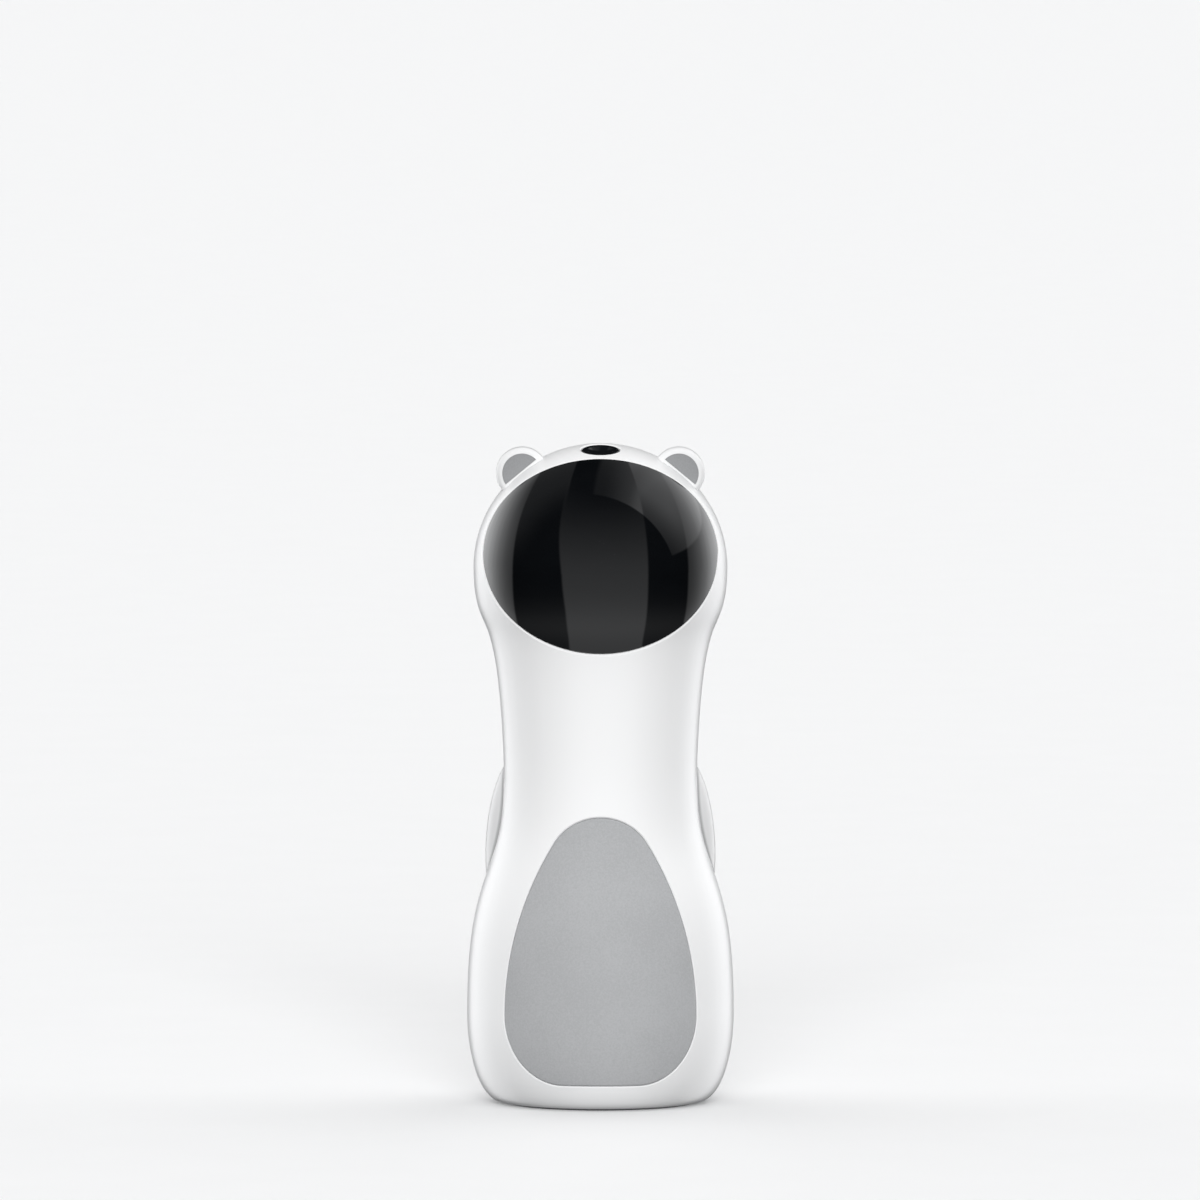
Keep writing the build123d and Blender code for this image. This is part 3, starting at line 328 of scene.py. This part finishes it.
# Screws, with the way that the heads of each group face
CROWN_LEAN = radians(13.5)
SCREW_HEADS = {
    "shell_screws": (0.0, 1.0, 0.0),
    "chassis_screws": (0.0, -1.0, 0.0),
    "pan_motor_screws": (0.0, 0.0, 1.0),
    "switch_board_screws": (0.0, sin(CROWN_LEAN), -cos(CROWN_LEAN)),
    "main_board_screws": (0.0, -1.0, 0.0),
    "battery_tray_screws": (0.0, 1.0, 0.0),
}
SCREW_SIDES = 24
THREAD_STEPS = 12
SHARP_EDGE = radians(35.0)
# Points nearer than this are one point
SOLID_WELD = 1e-6
SCREW_WELD = 1e-7
# Points further than this under the head's seat are on the shank
SEAT_MARGIN = 1e-5
# Shares of the head's radius or height
HEAD_RIM = 0.8
HEAD_FLAT = 0.66
HEAD_EDGE = 0.35
RECESS_REACH = 0.55
RECESS_HALF = 0.13
RECESS_TAPER = 0.7
RECESS_DEPTH = 0.6
# Shares of the shank's radius
POINT_RADIUS = 0.2
PLAIN_LENGTH = 1.5
THREAD_PITCH = 0.9
THREAD_ROOT = 0.96
THREAD_CREST = 1.14


def loose_solids(node):
    """The corner points of each separate solid of a node."""
    form = bmesh.new()
    form.from_mesh(node.data)
    bmesh.ops.remove_doubles(form, verts=form.verts, dist=SOLID_WELD)
    left = set(form.verts)
    solids = []
    while left:
        open_ends = [left.pop()]
        points = []
        while open_ends:
            vert = open_ends.pop()
            points.append(vert.co.copy())
            near = {edge.other_vert(vert) for edge in vert.link_edges} & left
            left -= near
            open_ends += near
        solids.append(points)
    form.free()
    return solids


def measure_screw(points, towards):
    """Place and sizes of one screw, read from its solid."""
    turn = Vector(towards).to_track_quat("Z", "Y").to_matrix()
    local = [turn.transposed() @ point for point in points]
    low = [min(point[axis] for point in local) for axis in range(3)]
    high = [max(point[axis] for point in local) for axis in range(3)]
    x, y = ((low[axis] + high[axis]) / 2 for axis in range(2))
    reach = [hypot(point.x - x, point.y - y) for point in local]
    head = max(reach)
    seat = min(point.z for point, far in zip(local, reach) if far > HEAD_RIM * head)
    shank = max(far for point, far in zip(local, reach) if point.z < seat - SEAT_MARGIN)
    place = turn.to_4x4() @ Matrix.Translation((x, y, seat))
    return place, shank, seat - low[2], head, high[2] - seat


def spun(form, points, angle, steps, climb=0.0, close=True):
    """A line of points (radius, height) turned about Z, climbing a little at each step."""
    verts = [form.verts.new((radius, 0.0, height)) for radius, height in points]
    edges = [form.edges.new(pair) for pair in zip(verts, verts[1:])]
    bmesh.ops.spin(
        form, geom=verts + edges, cent=(0.0, 0.0, 0.0), axis=(0.0, 0.0, 1.0), dvec=(0.0, 0.0, climb),
        angle=angle, steps=steps, use_merge=close,
    )


def cross_corners(reach, half, level):
    """The twelve corners of a cross, in order."""
    arm = ((reach, -half), (reach, half), (half, half))
    turns = [Matrix.Rotation(quarter * pi / 2, 3, "Z") for quarter in range(4)]
    return [turn @ Vector((x, y, level)) for turn in turns for x, y in arm]


def screw_mesh(shank, length, head, height):
    """A domed head with a cross recess, over a shank with a cut thread. Its seat is at the origin."""
    form = bmesh.new()
    low = shank - length
    flat = HEAD_FLAT * head
    dome = 1 - HEAD_EDGE
    outline = []
    for turn in (step * pi / 8 for step in range(5)):
        outline.append((flat + (head - flat) * sin(turn), height * (HEAD_EDGE + dome * cos(turn))))
    outline += [(head, 0.0), (shank, 0.0), (shank, low), (POINT_RADIUS * shank, -length), (0.0, -length)]
    spun(form, outline, 2 * pi, SCREW_SIDES)
    bmesh.ops.remove_doubles(form, verts=form.verts, dist=SCREW_WELD)
    rim = [edge for edge in form.edges if edge.is_boundary]
    # Cross recess, narrower at its floor
    corners = cross_corners(RECESS_REACH * head, RECESS_HALF * head, height)
    corners = [form.verts.new(corner) for corner in corners]
    cross = [form.edges.new(pair) for pair in zip(corners, corners[1:] + corners[:1])]
    bmesh.ops.triangle_fill(form, use_beauty=True, edges=rim + cross)
    walls = bmesh.ops.extrude_edge_only(form, edges=cross)["geom"]
    floor = [item for item in walls if isinstance(item, bmesh.types.BMVert)]
    bmesh.ops.scale(form, vec=(RECESS_TAPER, RECESS_TAPER, 1.0), verts=floor)
    bmesh.ops.translate(form, vec=(0.0, 0.0, -RECESS_DEPTH * height), verts=floor)
    edges = [item for item in walls if isinstance(item, bmesh.types.BMEdge)]
    bmesh.ops.contextual_create(form, geom=[edge for edge in edges if set(edge.verts) <= set(floor)])
    # Thread
    pitch = THREAD_PITCH * shank
    turns = int((length - PLAIN_LENGTH * shank) / pitch)
    root = THREAD_ROOT * shank
    tooth = [(root, low), (THREAD_CREST * shank, low + pitch / 4), (root, low + pitch / 2)]
    spun(form, tooth, 2 * pi * turns, THREAD_STEPS * turns, pitch / THREAD_STEPS, False)
    bmesh.ops.recalc_face_normals(form, faces=form.faces)
    return form


def cut_screws():
    """Screws with recess and thread in place of each group of plain ones."""
    for name, towards in SCREW_HEADS.items():
        group = bmesh.new()
        for points in loose_solids(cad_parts[name]):
            place, *sizes = measure_screw(points, towards)
            one = screw_mesh(*sizes)
            one.transform(place)
            mesh = bpy.data.meshes.new("one_screw")
            one.to_mesh(mesh)
            one.free()
            group.from_mesh(mesh)
            bpy.data.meshes.remove(mesh)
        mesh = bpy.data.meshes.new(name + "_cut")
        group.to_mesh(mesh)
        group.free()
        mesh.shade_smooth()
        mesh.set_sharp_from_angle(angle=SHARP_EDGE)
        mesh.materials.append(FINISHES["screw_steel"])
        piece = bpy.data.objects.new(name + "_cut", mesh)
        bpy.context.scene.collection.objects.link(piece)
        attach(piece, "housing")
        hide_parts(name)


# Studio: distant lights, each with azimuth, elevation, strength, width and whether it casts a shadow
LIGHTS = {
    "front_light": (1.0, 14.0, 0.98, 30.0, True),
    "left_light": (-126.0, 24.0, 0.42, 80.0, False),
    "right_light": (126.0, 24.0, 0.42, 80.0, False),
    "back_light": (180.0, 40.0, 0.25, 120.0, False),
    "top_fill": (0.0, 75.0, 0.12, 90.0, False),
    "top_light": (0.0, 75.0, 0.15, 90.0, True),
}
# Brightness of the panels that glossy surfaces mirror, of the backdrop and of the room
FRONT_CARD = 0.72
SIDE_NEAR = 0.65
SIDE_FAR = 2.3
LEFT_PANEL = 0.15
FLOOR_GLOW = 0.38
BACKDROP = 0.9
ROOM = 0.04
ROOM_BELOW = 0.17
# With this the spread of a direction roughly follows the place across the visor where it is mirrored
MIRROR_DEPTH = 1.13


def set_camera():
    """The long lens in front, with a frame of the picture's width at the aim."""
    data = bpy.data.cameras.new("camera")
    data.sensor_width = SENSOR_WIDTH
    data.lens = SENSOR_WIDTH * CAMERA_DISTANCE / (PICTURE_PIXELS * METRES_PER_PIXEL)
    data.clip_end = FARTHEST
    camera = bpy.data.objects.new("camera", data)
    bpy.context.scene.collection.objects.link(camera)
    rise = radians(CAMERA_RISE)
    back = Vector((0.0, -cos(rise), sin(rise)))
    camera.location = AIM + CAMERA_DISTANCE * back
    camera.rotation_euler = (-back).to_track_quat("-Z", "Y").to_euler()
    bpy.context.scene.camera = camera


def lay_floor():
    """A pale paper floor that glossy and matt surfaces don't see."""
    mesh = bpy.data.meshes.new("floor")
    form = bmesh.new()
    bmesh.ops.create_grid(form, x_segments=1, y_segments=1, size=FLOOR_HALF)
    form.to_mesh(mesh)
    form.free()
    floor = bpy.data.objects.new("floor", mesh)
    bpy.context.scene.collection.objects.link(floor)
    floor.visible_glossy = False
    floor.visible_diffuse = False
    material, sheet = new_finish("floor_paper")
    tooth = sheet.noise(sheet.place(), scale=40.0, detail=3.0)
    mesh.materials.append(close_finish(material, sheet, {
        "Base Color": sheet.blend(tooth, grey(FLOOR_DARK, 0.01), grey(FLOOR_LIGHT, 0.01)),
        "Roughness": 0.9,
        "Specular IOR Level": 0.0,
    }))


def add_sun(name, azimuth, elevation, strength, angle, shadow):
    """A distant soft light. Azimuth 0 is the front and 90 the right."""
    data = bpy.data.lights.new(name, "SUN")
    data.energy = strength * pi
    data.angle = radians(angle)
    data.use_shadow = shadow
    light = bpy.data.objects.new(name, data)
    bpy.context.scene.collection.objects.link(light)
    turn, rise = radians(azimuth), radians(elevation)
    towards = Vector((sin(turn) * cos(rise), -cos(turn) * cos(rise), sin(rise)))
    light.rotation_euler = towards.to_track_quat("Z", "Y").to_euler()
    light.visible_glossy = False


class Way:
    """A direction seen from the toy: its axes, and its turn from the front and its rise in degrees.
    Its spread is 0 straight ahead, above 0 on the right and below 0 on the left."""

    def __init__(self, sheet):
        self.x, self.y, self.z = sheet.axes(sheet.add("ShaderNodeTexCoord", output="Generated"))
        self.turn = self.x.math("ARCTAN2", 0 - self.y) * (180 / pi)
        self.rise = self.z.math("ARCSINE") * (180 / pi)
        self.spread = self.x / (MIRROR_DEPTH - self.y)
        self.behind = self.y.step(0.7, 0.82)


def front_card(way):
    """A low card in front, brighter below, with its left edge leaning."""
    lean = 0.066 * way.rise.step(-40.0, 45.0)
    left_edge = (way.spread + lean).step(-0.284, -0.26)
    right_edge = 1 - way.spread.step(0.363, 0.387)
    top_fade = 1 - way.rise.step(-38.0, 82.0)
    back_fade = 1 - way.y.step(0.0, 0.3)
    return left_edge * right_edge * top_fade * back_fade * FRONT_CARD


def side_panels(way):
    """Tall panels at both sides, brighter towards the back, which leave the space behind dark."""
    turn = abs(way.turn)
    front_edge = abs(way.spread).step(0.83, 0.87)
    back_edge = 1 - turn.step(146.0, 160.0)
    top_fade = 1 - way.rise.step(5.0, 50.0)
    low_fade = 0.5 + 0.5 * way.rise.step(-60.0, -10.0)
    dimmed = (0.22 + 0.1 * way.x) * (1 - 0.7 * turn.step(105.0, 130.0))
    brightness = (SIDE_NEAR + SIDE_FAR * turn.step(86.0, 128.0)) * (1 - dimmed)
    return front_edge * back_edge * top_fade * low_fade * brightness


def right_panel(way):
    """A large panel above on the right, with straight edges in front, below and at its left."""
    x, y, z = way.x, way.y, way.z
    front_edge = (0.294 * x + y + 0.239 * z).step(-0.037, -0.017)
    low_edge = (way.rise - 0.16 * way.turn).step(-2.0, 0.0)
    left_edge = (x - 0.12 * y).step(-0.085, -0.025)
    back_edge = 1 - way.behind * (1 - x.step(0.2, 0.4))
    low_fade = 0.35 + 0.65 * way.rise.step(5.0, 45.0)
    inner = 0.11 + 0.47 * x.step(0.0, 0.5) + 0.4 * x.step(0.33, 0.5)
    outer = (0.43 + 0.65 * y.step(-0.42, 0.1)) * (0.72 + 0.28 * x.step(0.3, 0.5))
    brightness = inner + (outer - inner) * way.spread.step(0.365, 0.385)
    return front_edge * low_edge * left_edge * back_edge * low_fade * brightness


def left_panel(way):
    """A faint panel above on the left."""
    right_edge = 1 - way.spread.step(-0.326, -0.302)
    back_edge = 1 - way.behind
    front_fade = way.y.step(-0.42, 0.2)
    low_fade = way.rise.step(0.0, 30.0)
    return right_edge * back_edge * front_fade * low_fade * LEFT_PANEL


def floor_glow(way):
    """The floor's own light, from below."""
    return (1 - way.rise.step(-75.0, -5.0)) * FLOOR_GLOW


def surround():
    """Panels that only glossy surfaces see, a pale backdrop for the camera and a dim room for the rest."""
    world = bpy.data.worlds.new("studio")
    bpy.context.scene.world = world
    world.use_nodes = True
    sheet = Sheet(world.node_tree)
    way = Way(sheet)
    panels = front_card(way) + side_panels(way) + right_panel(way) + left_panel(way) + floor_glow(way)
    room = ROOM + ROOM_BELOW * (1 - way.z.step(-0.4, 0.0))
    path = sheet.add("ShaderNodeLightPath").socket.node
    glossy = Wire(sheet, path.outputs["Is Glossy Ray"])
    camera = Wire(sheet, path.outputs["Is Camera Ray"])
    strength = glossy * panels + camera * BACKDROP + (1 - glossy - camera) * room
    shine = sheet.add("ShaderNodeBackground", None, {"Color": grey(1.0, 0.02), "Strength": strength})
    sheet.add("ShaderNodeOutputWorld", None, {"Surface": shine})


paint_nodes()
cut_screws()
set_camera()
lay_floor()
for name, values in LIGHTS.items():
    add_sun(name, *values)
surround()
bpy.context.scene.view_settings.view_transform = "Standard"
